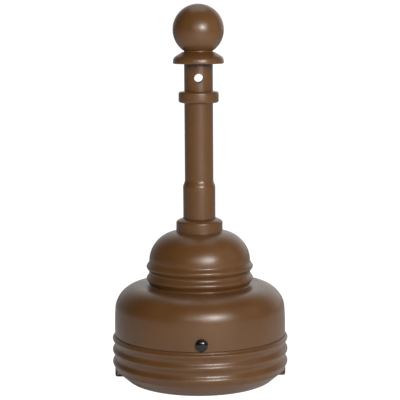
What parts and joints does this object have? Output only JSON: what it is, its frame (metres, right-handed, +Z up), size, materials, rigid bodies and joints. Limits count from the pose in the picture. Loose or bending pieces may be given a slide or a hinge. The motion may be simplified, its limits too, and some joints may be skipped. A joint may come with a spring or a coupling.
{
  "type": "ashtray bin",
  "caption": "Free-standing smokers' bin: hollow pole with a ball cap and side holes, domed cover, ribbed base and a lift-out metal pail.",
  "frame": {"origin": "on the ground, on the vertical axis of the bin, which lies 4 mm behind the middle of its box because the knob stands out in front", "axes": "+Z up along the axis; -Y towards the side with the locking knob; the tie-down ears lie along X"},
  "size_m": [0.4699, 0.4786, 0.999],
  "materials": {
    "brown_plastic": "satin moulded polyethylene, brown all through",
    "black_plastic": "polished black phenolic",
    "zinc_steel": "bright zinc plate",
    "brass": "turned brass",
    "galvanised": "hot-dip galvanised, spangled",
    "grip_plastic": "matt black moulded plastic"
  },
  "bodies": {
    "base": {"base_pan": "brown_plastic", "threaded_insert": "brass"},
    "clamp_washer": {"knob_washer": "zinc_steel"},
    "clamp_knob": {"knob": "black_plastic", "knob_stud": "zinc_steel"},
    "top": {"cover": "brown_plastic", "pole": "brown_plastic", "pole_lock_ring": "brown_plastic", "head": "brown_plastic"},
    "pail": {"pail_body": "galvanised", "pail_bottom": "galvanised", "pail_rim_wire": "galvanised", "pail_ear_left": "galvanised", "pail_ear_right": "galvanised", "ear_rivets": "galvanised"},
    "bail": {"bail_wire": "galvanised", "bail_grip": "grip_plastic"}
  },
  "joints": [
    {"name": "washer_travel", "type": "slide", "parent": "base", "child": "clamp_washer", "axis": [0, -1, 0], "range_m": [0, 0.0101]},
    {"name": "knob_turn", "type": "hinge", "parent": "clamp_washer", "child": "clamp_knob", "pos_m": [0, -0.236, 0.144], "axis": [0, -1, 0], "range_deg": [0, 2880]},
    {"name": "cover_lift", "type": "slide", "parent": "base", "child": "top", "axis": [0, 0, 1], "range_m": [0, 0.3]},
    {"name": "pail_lift", "type": "slide", "parent": "base", "child": "pail", "axis": [0, 0, 1], "range_m": [0, 0.095]},
    {"name": "bail_swing", "type": "hinge", "parent": "pail", "child": "bail", "pos_m": [0, 0, 0.2033], "axis": [1, 0, 0], "range_deg": [0, 220]}
  ],
  "couplings": [
    {"joint": "washer_travel", "follows": "knob_turn", "m_per_rad": 0.00019894}
  ]
}
